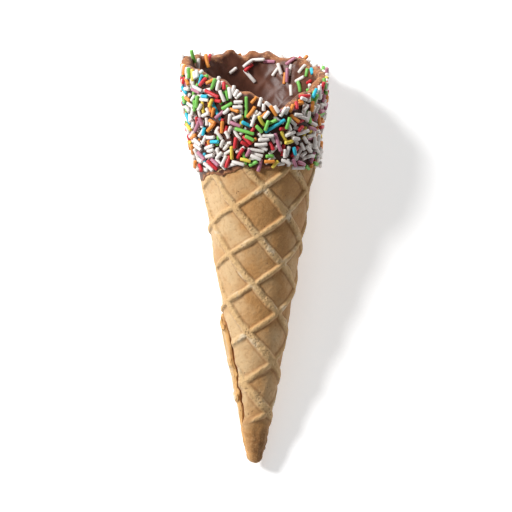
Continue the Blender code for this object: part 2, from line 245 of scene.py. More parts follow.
# Finishes. Sizes of the speckle in millimetres, and how closely its patches lie.
SPECKLE_SIZES = {"Blotch Size": 6.0, "Grain Size": 0.5, "Pit Size": 1.6, "Bubble Size": 1.2}
PIT_PATCHES = 220.0
BUBBLE_PATCHES = 190.0
RIB_SHARPNESS = 0.55
WAFER_BUMP = 0.30 * MM
WAFER_PALE = (0.63, 0.432, 0.230)
WAFER_TOAST_AND_SHADE = (0.50, 0.252, 0.086)
WAFER_BROWNEST_AND_SHADE = (0.26, 0.115, 0.035)
WAFER_GRAIN = (0.66, 0.42, 0.19)
WAFER_FLECKS = (0.34, 0.155, 0.050)
WAFER_RIBS = (0.72, 0.46, 0.200)
WAFER_CREASE_SHADE = (0.27, 0.115, 0.036)
WAFER_FLOUR_AND_HIGHLIGHT = (0.83, 0.72, 0.54)
WAFER_CRUST = (0.72, 0.41, 0.155)
WAFER_CRACK_SHADE = (0.34, 0.12, 0.032)
WAFER_HOLLOW_SHADE = (0.27, 0.10, 0.035)
CHOCOLATE_BUMP = 0.15 * MM
CHOCOLATE_DEEP = (0.090, 0.028, 0.014)
CHOCOLATE_PALE = (0.128, 0.042, 0.021)
CHOCOLATE_OUTSIDE_SHADE = (0.060, 0.018, 0.009)
CHOCOLATE_THIN = (0.38, 0.150, 0.062)
CHOCOLATE_CRUMBS = (0.60, 0.30, 0.13)
SUGAR_BUMP = 0.06 * MM
SUGAR_SHADE = 0.78
FLOOR_GREYS = ((0.86, 0.86, 0.86), (0.90, 0.90, 0.90))


def smooth(x):
    """0 up to 0, 1 from 1 on, and an even ramp between."""
    x = min(1.0, max(0.0, x))
    return x * x * (3 - 2 * x)


def waves(turn, parts):
    return sum(size * math.cos(count * turn + phase) for count, size, phase in parts)


def lumps(point, size, seed=0.0):
    """Smooth unevenness between -1 and 1, in lumps of about the given size."""
    return noise.noise(point / size + Vector((seed, seed * 0.7, seed * 1.3)))


def sheet_edge(turn, corner_share=CUT_CORNER_SHARE):
    """Distance up the wall from the tip to the sheet's edge, whose last corner is rounded."""
    turn = abs(turn)
    reach = SHEET_LENGTH * math.cos(OUTLINE_RATE * turn)
    reach += FLAP_FULLNESS * smooth((turn - FLAP_FULL_FROM) / FLAP_FULL_OVER)
    reach += waves(turn, RIM_WAVES)
    corner = corner_share * max(0.0, (turn - CUT_END_TURN) / CUT_CORNER + 1)
    if corner > 1 - 1e-9:
        return 0.0
    return reach * (1 - corner**5) ** 0.2


def tightness(along):
    """The layers are pressed together towards the tip."""
    return TIP_TIGHTNESS + (1 - TIP_TIGHTNESS) * min(1.0, along / TIGHT_UP_TO)


def dome(along, start, length):
    """The rounding of a closed end: 0 at its start, 1 from its length on."""
    rest = 1 - min(1.0, max(0.0, (along - start) / length))
    return math.sqrt(1 - rest * rest)


def layer_radius(turn, along, face):
    """Radius of the sheet's inner face (0) or outer face (1), on the spiral of the roll."""
    layers = (turn + NOTCH_TURN) / FULL_TURN + face
    return along * math.sin(HALF_ANGLE) + layers * SHEET_THICKNESS * tightness(along)


def bearing_of(turn):
    """Where a turn of the sheet comes to lie round the cone: 0 is up, towards the camera."""
    return turn + LONGEST_LINE_BEARING


def rolled(turn, along, radius):
    """A point of the cone, with the tip at the origin and the axis on +Y."""
    bearing = bearing_of(turn)
    height = along * math.cos(HALF_ANGLE)
    return Vector((radius * math.sin(bearing), height, radius * math.cos(bearing)))


def unrolled(turn, along):
    """The same point on the flat face of the sheet, where the ribs are straight."""
    angle = bearing_of(turn) * math.sin(FACE_HALF_ANGLE)
    reach = along + FACE_APEX_BEYOND_TIP
    return Vector((reach * math.sin(angle), reach * math.cos(angle)))


def dip_line(bearing):
    """Distance along the wall to the chocolate's lower border, a slanting and wavy line."""
    across = DIP_HEIGHT * math.tan(FACE_HALF_ANGLE) * math.sin(bearing)
    height = DIP_HEIGHT + DIP_SLOPE * across + waves(bearing, DIP_WAVES)
    return height / math.cos(HALF_ANGLE)


def evenly(first, last, count):
    return [first + (last - first) * i / count for i in range(count + 1)]


def up_the_side(distance, shape):
    """How far up a rib's sloping side: 0 at its foot, 1 at its crest, negative beside the rib."""
    return (shape["width"] / 2 - distance) / shape["slope"]


def to_lines(flat, crossing, first_step, second_step):
    """Distances from a flat point to the nearest lines of a lattice, along either of its steps."""
    offset = flat - crossing
    cell = first_step.x * second_step.y - first_step.y * second_step.x
    first = (offset.x * second_step.y - offset.y * second_step.x) / cell
    second = (first_step.x * offset.y - first_step.y * offset.x) / cell
    to_first = abs(second - round(second)) * abs(cell) / first_step.length
    to_second = abs(first - round(first)) * abs(cell) / second_step.length
    return to_first, to_second


def low_down(along):
    """0 on the upper part of the cone, 1 on its lower part, where the ribs are soft."""
    return smooth((SOFT_RIBS_BELOW - along) / SOFT_RIBS_OVER)


def lattice(turn, along):
    """(narrow rib, broad rib) at a point of the face: how far up the side of each one."""
    flat = unrolled(turn, along)
    spot = Vector((flat.x, flat.y, 0.0))
    flat.x += 0.55 * MM * lumps(spot, 9 * MM, 3.0)
    flat.y += 0.55 * MM * lumps(spot, 9 * MM, 8.0)
    to_narrow, to_broad = to_lines(flat, FIRST_CROSSING, RISING_RIB_STEP, FALLING_RIB_STEP)
    swell = 0.22 * MM * lumps(spot, 4 * MM, 5.0) + 0.10 * MM * lumps(spot, 1.5 * MM, 2.0)
    softness = 1 - 0.32 * low_down(along)
    narrow = up_the_side(softness * (to_narrow + swell), NARROW_RIB)
    return narrow, up_the_side(softness * (to_broad - 1.5 * swell), BROAD_RIB)


def fade_near_tip(along):
    return smooth((along - RIBS_FROM) / (RIBS_FULL_AT - RIBS_FROM))


def relief(turn, along, spot):
    """(height, narrow rib, broad rib) at a point of the outer skin."""
    up_narrow, up_broad = lattice(turn, along)
    fade = fade_near_tip(along)
    low = low_down(along)
    narrow = smooth(up_narrow) * fade * (0.90 - 0.28 * low + 0.28 * lumps(spot, 11 * MM, 1.0))
    broad = smooth(up_broad) * fade * (0.88 - 0.22 * low + 0.36 * lumps(spot, 9 * MM, 2.0))
    pitted = max(0.0, lumps(spot, 2.0 * MM, 4.0)) * smooth(2 * lumps(spot, 12 * MM, 9.0))
    height = max(narrow * NARROW_RIB["height"], broad * (BROAD_RIB["height"] - 0.6 * MM * pitted))
    height += 0.30 * MM * lumps(spot, 7 * MM, 6.0) + 0.14 * MM * lumps(spot, 2.4 * MM, 7.0)
    height += 0.40 * MM * (1 - fade) * lumps(spot, 1.8 * MM, 17.0)
    gone = 3.5 * (1 - fade) + 0.35 * low
    return height, max(BESIDE, up_narrow - gone), max(BESIDE, up_broad - gone)


def browning_and_shade(turn, along, spot, rib):
    """How brown the sheet is: baked browner at the tip and between the ribs, and painted browner on its
    right front, the side turned from the light, as painted shade.
    """
    # Painted shade: the right front, away from the key light, is made browner.
    towards_right = math.cos(bearing_of(turn) - math.radians(50))
    share = smooth(towards_right + 0.35) + 0.60 * lumps(spot, 9 * MM, 16.0)
    share *= 1 - 0.40 * low_down(along)
    share += 1.2 * smooth(1.3 - along / (20 * MM))
    return share * (1 - 0.80 * rib)


def fray(turn, along):
    """How far the sheet's cut end, and what lies under it, wavers round the cone."""
    away = (turn - CUT_TURN + math.pi) % FULL_TURN - math.pi
    window = max(0.0, 1 - abs(away) / EDGE_FRAY_WINDOW)
    reach = Vector((along, 0.0, 0.0))
    waver = lumps(reach, 9 * MM, 2.0) + 0.9 * lumps(reach, 3.4 * MM, 5.0)
    waver += 0.5 * lumps(reach, 1.6 * MM, 9.0)
    return window * EDGE_FRAY * waver / (along * math.sin(HALF_ANGLE) + 3 * MM)


def tip_shape(turn, along):
    """The blunt tip: a worn nub, narrower than the wall behind it, most of all on its right."""
    bearing = bearing_of(turn)
    share = 1 - smooth((along - NUB_LENGTH - 0.5 * MM * math.sin(bearing)) / (0.6 * MM))
    return -NUB_STEP * share * (0.75 + 0.45 * math.sin(bearing))


def outer_plain(turn, along):
    radius = layer_radius(turn, along, 1) * dome(along, 0, TIP_ROUND)
    return rolled(turn + fray(turn, along), along, radius)


def free_edge():
    """Turns, and distances up the wall, of the outer layer's free edge, from the notch to the tip."""
    sloping = [(turn, sheet_edge(turn)) for turn in evenly(NOTCH_TURN, CUT_END_TURN, 1200)]
    return sloping + [(CUT_END_TURN, along) for along in evenly(sloping[-1][1], 0.0, 300)]


def tree_of(points):
    tree = KDTree(len(points))
    for i, point in enumerate(points):
        tree.insert(point, i)
    tree.balance()
    return tree


class Skin:
    """The wafer's outer skin, point by point, with what its material needs to know there."""

    def __init__(self):
        edge = free_edge()
        self.feet = tree_of([outer_plain(turn - FULL_TURN, along) for turn, along in edge])
        self.edges = tree_of([outer_plain(turn, along) for turn, along in edge])

    def point(self, turn, along, upper):
        """Place and marks of the outer layer if upper, or else of the layer under its free edge."""
        spot = outer_plain(turn, along)
        height, narrow, broad = relief(turn, along, spot)
        crust = 0.0
        crack_shade = 0.0
        crumbs = lumps(spot, 1.4 * MM, 11.0)
        if upper:
            to_edge = self.edges.find(spot)[2]
            crust = 1 - smooth((to_edge - 0.5 * MM - 0.5 * MM * crumbs) / (0.7 * MM))
            height -= (LIP_ROUND + 0.40 * MM * crumbs) * (1 - smooth(to_edge / (1.0 * MM)))
        else:
            to_foot = self.feet.find(spot)[2]
            open_crack = smooth((along - CRACK_FROM) / CRACK_FULL_OVER)
            swell = SWELL_BY_CRACK * (0.7 + 0.8 * lumps(spot, 6 * MM, 12.0))
            swell += (SWELL_NEAR_TIP - swell) * (1 - open_crack)
            height += swell * (1 - smooth((to_foot - 1.0 * MM) / (5 * MM)))
            # The crack's mark paints it dark reddish brown: partly toasted, partly painted shade in the
            # gap under the lip.
            crack_shade = open_crack * (1 - smooth((to_foot - 0.4 * MM * crumbs) / (1.7 * MM)))
            height -= (CRACK_DEPTH + swell) * open_crack * (1 - smooth(to_foot / CRACK_WIDTH))
        radius = layer_radius(turn, along, 1) + height + tip_shape(turn, along)
        place = rolled(turn + fray(turn, along), along, radius * dome(along, 0, TIP_ROUND))
        toast_and_shade = browning_and_shade(turn, along, spot, smooth(max(narrow, broad)))
        return place, narrow, broad, crust, crack_shade, toast_and_shade


def is_flap(turn):
    return turn >= CUT_TURN + 1e-9


def sheet_turns():
    """Turns of the mesh columns over one turn of the roll, alike on both sides of the longest line."""
    left = evenly(-NOTCH_TURN, -CUT_TURN, COLUMNS_TO_CUT)
    middle = evenly(-CUT_TURN, CUT_TURN, COLUMNS_BETWEEN_CUTS)
    right = evenly(CUT_TURN, NOTCH_TURN, COLUMNS_TO_CUT)
    return left + middle[1:] + right[1:]


def rim_lip(turn):
    """Where the faces end: at the edge itself on the overlap, and short of the rounded rim elsewhere."""
    return sheet_edge(turn) - (RIM_ROUND if abs(turn) < NOTCH_TURN else 0)


# The fifth mark is baked browning on the wafer, with painted shade on its right front; on the chocolate
# it is painted shade outside, between the sprinkles.
MARKS = ("narrow", "broad", "crust", "crack_shade", "toast_and_shade")


def add_patch(name, columns, rows, place):
    """A flat grid, moved point by point by place(what a column stands for, share of the rows)."""
    last = len(columns) - 1
    bpy.ops.mesh.primitive_grid_add(x_subdivisions=last, y_subdivisions=rows, size=1)
    patch = bpy.context.object
    patch.name = name
    values = []
    for vert in patch.data.vertices:
        column = columns[round((vert.co.x + 0.5) * last)]
        found = place(column, round((vert.co.y + 0.5) * rows) / rows)
        vert.co = found[0]
        values.append(found[1:] or (BESIDE, BESIDE, 0.0, 0.0, 0.0))
    for mark_name, marked in zip(MARKS, zip(*values)):
        attribute = patch.data.attributes.new(mark_name, "FLOAT", "POINT")
        attribute.data.foreach_set("value", marked)
    choose([])
    return patch


def choose(pieces):
    """Selects these pieces alone, and makes the first one active."""
    bpy.ops.object.select_all(action="DESELECT")
    for piece in reversed(pieces):
        piece.select_set(True)
        bpy.context.view_layer.objects.active = piece


def join(pieces, name):
    choose(pieces)
    bpy.ops.object.join()
    joined = bpy.context.object
    joined.name = name
    joined.data.name = name
    return joined


def close_seams(piece, distance):
    """Welds the seams and poles of a piece and turns its faces outwards."""
    choose([piece])
    bpy.ops.object.mode_set(mode="EDIT")
    bpy.ops.mesh.select_all(action="SELECT")
    bpy.ops.mesh.remove_doubles(threshold=distance)
    bpy.ops.mesh.normals_make_consistent(inside=False)
    bpy.ops.mesh.select_all(action="DESELECT")
    bpy.ops.object.mode_set(mode="OBJECT")


def keep_in_box(mesh):
    """Moves what sticks out of the frame's box, or below the surface, back to its sides."""
    for vert in mesh.vertices:
        for i in range(3):
            vert.co[i] = min(max(vert.co[i], cad_box[0][i]), cad_box[1][i])


def lay_down(piece):
    """Tilts a piece with the roll."""
    piece.data.transform(LYING)
    keep_in_box(piece.data)


def row_above(low, foot, top, row, bearing):
    """How far up a row of the outer skin lies: level from above its foot, wider apart under the coat."""
    dip = min(top, max(foot, dip_line(bearing) + 2 * MM))
    if row > ROWS_BELOW_DIP:
        return dip + (top - dip) * (row - ROWS_BELOW_DIP) / ROWS_UNDER_COAT
    up = (dip - low) * row / ROWS_BELOW_DIP
    rise = foot - low
    if rise < 1e-9:
        return low + up
    reach = min(dip - low, 3 * rise)
    return low + up + rise * max(0.0, 1 - up / reach) ** max(1.0, min(2.0, (dip - low) / rise / 1.5))


def make_wafer():
    """The rolled sheet: outer skin, inner skin, the steps at its free edges, and its rim."""
    skin = Skin()
    turns = sheet_turns()
    base = turns[: COLUMNS_TO_CUT + COLUMNS_BETWEEN_CUTS + 1]
    overlap = [turn + FULL_TURN for turn in base]
    flap = turns[COLUMNS_TO_CUT + COLUMNS_BETWEEN_CUTS :] + overlap[1:]
    cut_top = sheet_edge(CUT_END_TURN)
    down_the_cut = [(CUT_END_TURN, along) for along in evenly(cut_top, 0.0, ROWS_BESIDE_CUT)]
    step_columns = [(turn, sheet_edge(turn)) for turn in overlap] + down_the_cut[1:]
    base_rows = ROWS_BELOW_DIP + ROWS_UNDER_COAT
    flap_rows = ROWS_BESIDE_CUT + base_rows

    def inner_plain(turn, along):
        radius = layer_radius(turn, along, 0) * dome(along, HOLLOW_START, HOLLOW_ROUND)
        return rolled(turn + fray(-turn, along), along, radius)

    def inner_edge(turn):
        return max(HOLLOW_START, sheet_edge(turn, 1.0))

    def on_flap(turn, share):
        row = round(share * flap_rows)
        if row <= ROWS_BESIDE_CUT:
            along = cut_top * row / ROWS_BESIDE_CUT
        else:
            bearing = bearing_of(turn)
            along = row_above(cut_top, cut_top, rim_lip(turn), row - ROWS_BESIDE_CUT, bearing)
        return skin.point(turn, along, turn > NOTCH_TURN)

    def on_base(turn, share):
        foot = sheet_edge(turn + FULL_TURN)
        row = round(share * base_rows)
        along = row_above(cut_top, foot, rim_lip(turn), row, bearing_of(turn))
        return skin.point(turn, along, False)

    def inside_flap(turn, share):
        top = inner_edge(turn) if abs(turn) >= NOTCH_TURN else rim_lip(turn)
        return (inner_plain(turn, HOLLOW_START + (top - HOLLOW_START) * share),)

    def inside_base(turn, share):
        foot = inner_edge(turn - FULL_TURN)
        return (inner_plain(turn, foot + (rim_lip(turn) - foot) * share),)

    def outer_step(column, share):
        turn, edge = column
        top = skin.point(turn, edge, turn > NOTCH_TURN)
        foot = skin.point(turn - FULL_TURN, edge, False)
        place = top[0].lerp(foot[0], share)
        bulge = LIP_OVERHANG * math.sin(math.pi * min(1.0, share * 1.6))
        bulge *= min(1.0, (turn - NOTCH_TURN) * 4) * min(1.0, edge / (20 * MM))
        bulge *= (1 + 1.9 * lumps(place, 1.5 * MM, 14.0)) * smooth(share * 8) * smooth(8 - share * 8)
        bearing = bearing_of(turn)
        ahead = Vector((math.cos(bearing), 0, -math.sin(bearing)))
        steep = smooth((turn - CUT_END_TURN) / CUT_CORNER + 1.6)
        place += (ahead * steep + Vector((0, 1 - steep, 0))) * bulge
        # The step's foot takes the crack's painted shade.
        crack_shade = foot[4] * smooth(share * 2.4 - 1)
        return place, top[1] - 3 * share, top[2] - 3 * share, top[3] * (1 - 0.4 * share), crack_shade, top[5]

    def inner_step(turn, share):
        along = inner_edge(-turn)
        return (inner_plain(turn, along).lerp(inner_plain(turn + FULL_TURN, along), share),)

    def rim(turn, share):
        edge = sheet_edge(turn)
        lip = rim_lip(turn)
        outside = skin.point(turn, lip, is_flap(turn) and turn > NOTCH_TURN)[0]
        inside = inner_plain(turn, lip)
        if turn >= NOTCH_TURN:
            middle = skin.point(-turn, edge, False)[0]
        elif turn <= -NOTCH_TURN:
            middle = inner_plain(-turn, edge)
        else:
            middle = (outer_plain(turn, edge) + inner_plain(turn, edge)) / 2
        return ((outside, middle, inside)[round(share * 2)],)

    patches = [
        add_patch("outer_flap", flap, flap_rows, on_flap),
        add_patch("outer_base", base, base_rows, on_base),
        add_patch("inner_flap", [-turn for turn in flap], INNER_ROWS, inside_flap),
        add_patch("inner_base", [-turn for turn in base], INNER_ROWS, inside_base),
        add_patch("outer_step", step_columns, STEP_ROWS, outer_step),
        add_patch("inner_step", [-turn for turn in overlap], 1, inner_step),
        add_patch("rim", turns, 2, rim),
    ]
    wafer = join(patches, "rolled_wafer")
    close_seams(wafer, 0.01 * MM)
    lay_down(wafer)
    return wafer


def coat_top(turn):
    return sheet_edge(turn) + COAT_OVER_RIM


def coat_offset(turn, along):
    above_border = along - dip_line(bearing_of(turn))
    return COAT_EDGE_OFFSET + (COAT_OFFSET - COAT_EDGE_OFFSET) * smooth(above_border / COAT_FEATHER)


def covered_radius(turn, along, side):
    """Radius of the wafer on one side (1 outside, -1 inside), its step at the overlap softened."""
    face = 1 if side > 0 else 0
    past_edge = along - sheet_edge(turn + side * FULL_TURN) - STEP_COVER
    share = 1 - smooth(past_edge / STEP_SOFTNESS)
    base = layer_radius(turn, along, face)
    overlap = layer_radius(turn + side * FULL_TURN, along, face)
    return base + (overlap - base) * share


def coat_radius(turn, along, side):
    return covered_radius(turn, along, side) + side * coat_offset(turn, along)


def coat_point(turn, along, side):
    return rolled(turn, along, coat_radius(turn, along, side))


def inner_ridges(turn, along):
    """Soft ridges inside the mouth: a fine lattice of lines that cross, laid out from the back."""
    from_back = bearing_of(turn) % FULL_TURN - math.pi
    angle = from_back * math.sin(FACE_HALF_ANGLE)
    reach = along + FACE_APEX_BEYOND_TIP
    flat = Vector((reach * math.sin(angle), reach * math.cos(angle)))
    spot = Vector((flat.x, flat.y, 0.0))
    flat.x += 1.7 * MM * lumps(spot, 8 * MM, 3.0)
    flat.y += 1.7 * MM * lumps(spot, 8 * MM, 8.0)
    span = INNER_SPACING / math.sin(INNER_RISE + INNER_FALL)
    rising = Vector((-math.cos(INNER_RISE), math.sin(INNER_RISE))) * span
    falling = Vector((math.cos(INNER_FALL), math.sin(INNER_FALL))) * span
    to_rising, to_falling = to_lines(flat, INNER_CROSSING, rising, falling)
    rising_ridge = smooth(up_the_side(to_rising, INNER_RIDGE))
    falling_ridge = smooth(up_the_side(to_falling, INNER_RIDGE))
    shown = max(rising_ridge, 0.8 * falling_ridge)
    return shown * (0.75 + 0.6 * lumps(spot, 7 * MM, 5.0)) * smooth((math.pi - abs(from_back)) / 0.4)


def coat_relief(turn, along, side):
    """How much the chocolate stands out: the sheet's ribs show softly through it, and it is lumpy."""
    spot = coat_point(turn, along, side)
    near_rim = smooth(1 - (coat_top(turn) - along) / (6 * MM))
    near_border = smooth(1 - (along - dip_line(bearing_of(turn))) / (3 * MM))
    if side < 0:
        height = INNER_RIDGE["height"] * inner_ridges(turn, along) * (1 - 0.5 * near_rim)
        height += 0.25 * MM * lumps(spot, 6 * MM, 3.0)
        height += 0.55 * MM * near_rim * lumps(spot, 2.3 * MM, 3.0)
    else:
        narrow, broad = lattice(turn, along)
        height = 0.25 * MM * smooth(max(narrow, broad))
        height += 0.25 * MM * lumps(spot, 2.2 * MM, 6.0) * (1 - near_border)
        height += 0.35 * MM * near_rim * lumps(spot, 1.9 * MM, 1.0)
    return height


def make_coat():
    """The chocolate on the mouth, from its border outside, over the rim, to the same depth inside."""
    turns = evenly(-NOTCH_TURN, NOTCH_TURN, COAT_COLUMNS)
    rows = COAT_OUTER_ROWS + COAT_RIM_ROWS + COAT_INNER_ROWS

    def rim_wobble(turn):
        spot = Vector((math.cos(turn), math.sin(turn), 0.0))
        wobble = 0.6 * MM * lumps(spot, 0.22, 2.0) + 0.7 * MM * lumps(spot, 0.10, 4.0)
        bearing = math.degrees(bearing_of(turn)) % 360
        for middle, height, width in RIM_BUMPS:
            wobble += height * MM * math.exp(-(((bearing - middle) / width) ** 2))
        return wobble

    def on_wall(turn, along, side, top):
        past = 1 - min(1.0, max(0.0, (top - along) / RIM_ROUNDING))
        thinning = RIM_THINNING * (1 - math.sqrt(1 - past * past))
        out = coat_radius(turn, along, side) + side * (coat_relief(turn, along, side) - thinning)
        return rolled(turn, along, out)

    def border(turn):
        spot = Vector((math.cos(turn), math.sin(turn), 0.0))
        ragged = 0.8 * MM * lumps(spot, 0.16, 21.0) + 0.6 * MM * lumps(spot, 0.07, 23.0)
        return dip_line(bearing_of(turn)) + ragged

    def place(turn, share):
        row = round(share * rows)
        foot = border(turn)
        top = coat_top(turn) + rim_wobble(turn)
        if row <= COAT_OUTER_ROWS:
            part = row / COAT_OUTER_ROWS
            along = foot + (top - foot) * (1 - (1 - part) ** 1.25)
            found = on_wall(turn, along, 1, top)
        elif row < COAT_OUTER_ROWS + COAT_RIM_ROWS:
            across = (row - COAT_OUTER_ROWS) / COAT_RIM_ROWS
            along = top
            found = on_wall(turn, top, 1, top).lerp(on_wall(turn, top, -1, top), across)
            found.y += 0.35 * MM * math.sin(math.pi * across)
        else:
            part = 1 - (row - COAT_OUTER_ROWS - COAT_RIM_ROWS) / COAT_INNER_ROWS
            along = foot + (top - foot) * (1 - (1 - part) ** 1.25)
            found = on_wall(turn, along, -1, top)
        patchy = lumps(found, 2.4 * MM, 15.0)
        rim_width = 0.9 * MM if row <= COAT_OUTER_ROWS else 2.8 * MM
        near_rim = 1 - smooth((top - along - 0.8 * rim_width * patchy) / rim_width)
        near_border = 0.0
        # The last mark is 1 outside: there the chocolate gets painted shade, as in the gaps between the
        # sprinkles.
        outside = 1.0 if row <= COAT_OUTER_ROWS else 0.0
        if outside:
            near_border = 0.9 * (1 - smooth((along - foot - 1.2 * MM * patchy) / (1.6 * MM)))
        return found, 0.0, 0.0, max(near_rim, near_border), 0.0, outside

    def under_border(turn, share):
        foot = border(turn)
        top = foot + 30 * MM
        found = on_wall(turn, foot, 1, top).lerp(on_wall(turn, foot, -1, top), share)
        return found, 0.0, 0.0, 0.6, 0.0, 0.0

    patches = [
        add_patch("coat_walls", turns, rows, place),
        add_patch("coat_underside", turns, 1, under_border),
    ]
    coat = join(patches, "chocolate_coat")
    close_seams(coat, 0.01 * MM)
    lay_down(coat)
    return coat


def sprinkle_length(number):
    """The longest come first: a few long ones, then the usual length, which falls slowly."""
    extra = (SPRINKLE_LONGEST - SPRINKLE_USUAL) * math.exp(-number / SPRINKLE_FEW_LONG)
    return extra + SPRINKLE_USUAL - SPRINKLE_SHORTENING * number


def throw(rng, length):
    """One throw of a frame's sprinkle at the chocolate: its place if it lands there, or else None."""
    side = -1 if rng.random() < SPRINKLES_INSIDE else 1
    turn = rng.uniform(-NOTCH_TURN, NOTCH_TURN)
    along = rng.uniform(DIP_HEIGHT, SHEET_LENGTH)
    heading = rng.uniform(0, math.pi)
    reach = length / 2 * math.sin(heading)
    rim = coat_top(turn)
    border = dip_line(bearing_of(turn)) if side > 0 else rim - INSIDE_REACH
    highest = rim - max(SPRINKLE_BELOW_RIM, reach - SPRINKLE_OVER_RIM)
    if not border + SPRINKLE_MARGIN + reach < along < highest:
        return None
    return turn, along, side, heading


def throw_more(rng, length, band):
    """One throw of the fill at a band below the rim: it may hang over the rim, or the border's right."""
    side = -1 if rng.random() < FILL_INSIDE else 1
    turn = rng.uniform(-NOTCH_TURN, NOTCH_TURN)
    rim = coat_top(turn)
    border = dip_line(bearing_of(turn)) if side > 0 else rim - INSIDE_REACH
    along = rim - rng.uniform(FILL_BELOW_RIM, band)
    heading = rng.uniform(0, math.pi)
    reach = length / 2 * math.sin(heading)
    overhang = FILL_OVER_BORDER * math.sin(bearing_of(turn) - math.radians(20)) - 0.3 * MM
    if not border - overhang + reach < along < rim + FILL_OVER_RIM - reach:
        return None
    return turn, along, side, heading


def frame_sprinkles(rng):
    """Places and lengths of the frame's sprinkles, spread evenly."""
    found, centres = [], []
    spacing = SPRINKLE_SPACING
    while len(found) < FRAME_SPRINKLES:
        length = sprinkle_length(len(found))
        place = throw(rng, length)
        if place is None:
            continue
        centre = coat_point(*place[:3])
        if any((centre - other).length < spacing for other in centres):
            spacing *= 0.9995
            continue
        found.append((place, length))
        centres.append(centre)
    return found


def as_seen(side, across, up, heading):
    """The place on the front wall outside, or on the back wall inside, that the camera sees there."""
    along = up / math.cos(HALF_ANGLE)
    straight = -LONGEST_LINE_BEARING if side > 0 else -LONGEST_LINE_BEARING - math.pi
    turn = straight
    for i in range(8):
        lean = math.asin(max(-0.99, min(0.99, across / coat_radius(turn, along, side))))
        turn = straight + side * lean
    return turn, along, side, heading if side > 0 else math.pi - heading


def sprinkle_axis(place, length):
    """Both ends of a sprinkle's axis, and at each of them the direction away from the chocolate."""
    turn, along, side, heading = place
    radius = coat_radius(turn, along, side)
    ends, outward = [], []
    for half in (-length / 2, length / 2):
        end_turn = turn + half * math.cos(heading) / radius
        end_along = along + half * math.sin(heading)
        end_radius = coat_radius(end_turn, end_along, side) + side * SPRINKLE_RIDE
        ends.append(rolled(end_turn, end_along, end_radius))
        bearing = bearing_of(end_turn)
        outward.append((side * math.sin(bearing), 0.0, side * math.cos(bearing)))
    return np.array(ends), np.array(outward)


class Pile:
    """The sprinkles laid so far, as the two ends of each one's axis."""

    def __init__(self):
        self.starts = np.zeros((MOST_SPRINKLES, 3))
        self.runs = np.zeros((MOST_SPRINKLES, 3))
        self.centres = np.zeros((MOST_SPRINKLES, 3))
        self.halves = np.zeros(MOST_SPRINKLES)
        self.laid = []

    def lay(self, ends, colour):
        number = len(self.laid)
        self.starts[number] = ends[0]
        self.runs[number] = ends[1] - ends[0]
        self.centres[number] = (ends[0] + ends[1]) / 2
        self.halves[number] = np.linalg.norm(ends[1] - ends[0]) / 2
        self.laid.append(((Vector(ends[0]), Vector(ends[1])), colour))

    def near(self, centre, reach):
        """Numbers of the sprinkles that may touch one within a reach of a point."""
        count = len(self.laid)
        away = ((self.centres[:count] - centre) ** 2).sum(axis=1)
        return np.nonzero(away < (self.halves[:count] + reach) ** 2)[0]

    def gaps(self, starts, ends, near):
        """Least distance from each of some axes to those near them, looked for at points along it."""
        if len(near) == 0:
            return np.ones(len(starts))
        along = np.linspace(0.0, 1.0, 9)[:, None]
        points = (starts[:, None] * (1 - along) + ends[:, None] * along)[:, :, None]
        runs = self.runs[near]
        offset = points - self.starts[near]
        share = np.clip((offset * runs).sum(axis=3) / (runs * runs).sum(axis=1), 0.0, 1.0)
        offset -= runs * share[..., None]
        return np.sqrt((offset**2).sum(axis=3).min(axis=(1, 2)))


def in_box(ends):
    """Whether a sprinkle stays so near the frame's box that it can be pressed back into it."""
    room = SPRINKLE_RADIUS * 1.02 - SUNK_AT_MOST
    for end in ends:
        place = LYING @ Vector(end)
        for i in range(3):
            lowest = cad_box[0][i] + room if i < 2 else 0.1 * MM
            if not lowest < place[i] < cad_box[1][i] - room:
                return False
    return True


def drop(pile, place, length, colour, needs_support):
    """Lays one sprinkle as low as it goes, with either end on the chocolate or on what lies there."""
    ends, outward = sprinkle_axis(place, length)
    lifts = np.array(sorted(((first, second) for first in LIFT_STEPS for second in LIFT_STEPS), key=sum))
    starts = ends[0] + lifts[:, :1] * outward[0]
    finishes = ends[1] + lifts[:, 1:] * outward[1]
    near = pile.near((ends[0] + ends[1]) / 2, length / 2 + 3.2 * SPRINKLE_RADIUS + LIFT_STEPS[-1])
    gaps = pile.gaps(starts, finishes, near)
    free = np.nonzero(gaps >= TOUCHING * 2 * SPRINKLE_RADIUS)[0]
    if len(free) == 0:
        return False
    lowest = free[0]
    if needs_support and lowest > 0 and gaps[lowest] > SUPPORTED * 2 * SPRINKLE_RADIUS:
        return False
    if not in_box((starts[lowest], finishes[lowest])):
        return False
    pile.lay((starts[lowest], finishes[lowest]), colour)
    return True


def pile_up_sprinkles():
    """All sprinkles: the frame's, the noted ones, then those that fill the gaps and lie on others."""
    rng = random.Random(SPRINKLE_SEED)
    pile = Pile()
    first = frame_sprinkles(rng)
    colours = list(SUGAR_COLOURS)
    weights = [SUGAR_COLOURS[name][0] for name in colours]
    for place, length in first:
        pile.lay(sprinkle_axis(place, length)[0], rng.choices(colours, weights)[0])
    for colour, side, across, up, length, heading in NOTED_SPRINKLES:
        place = as_seen(side, across * MM, up * MM, math.radians(heading))
        drop(pile, place, length * MM, colour, False)
    for band, tries in ((RIM_BAND, RIM_TRIES), (SHEET_LENGTH - DIP_HEIGHT, SPRINKLE_TRIES)):
        for i in range(tries):
            length = rng.uniform(*FILL_LENGTHS)
            place = throw_more(rng, length, band)
            colour = rng.choices(colours, weights)[0]
            for turned in range(FILL_HEADINGS):
                if place is None or len(pile.laid) >= MOST_SPRINKLES:
                    break
                heading = place[3] + math.pi * turned / FILL_HEADINGS
                if drop(pile, (*place[:3], heading), length, colour, True):
                    break
    return pile.laid


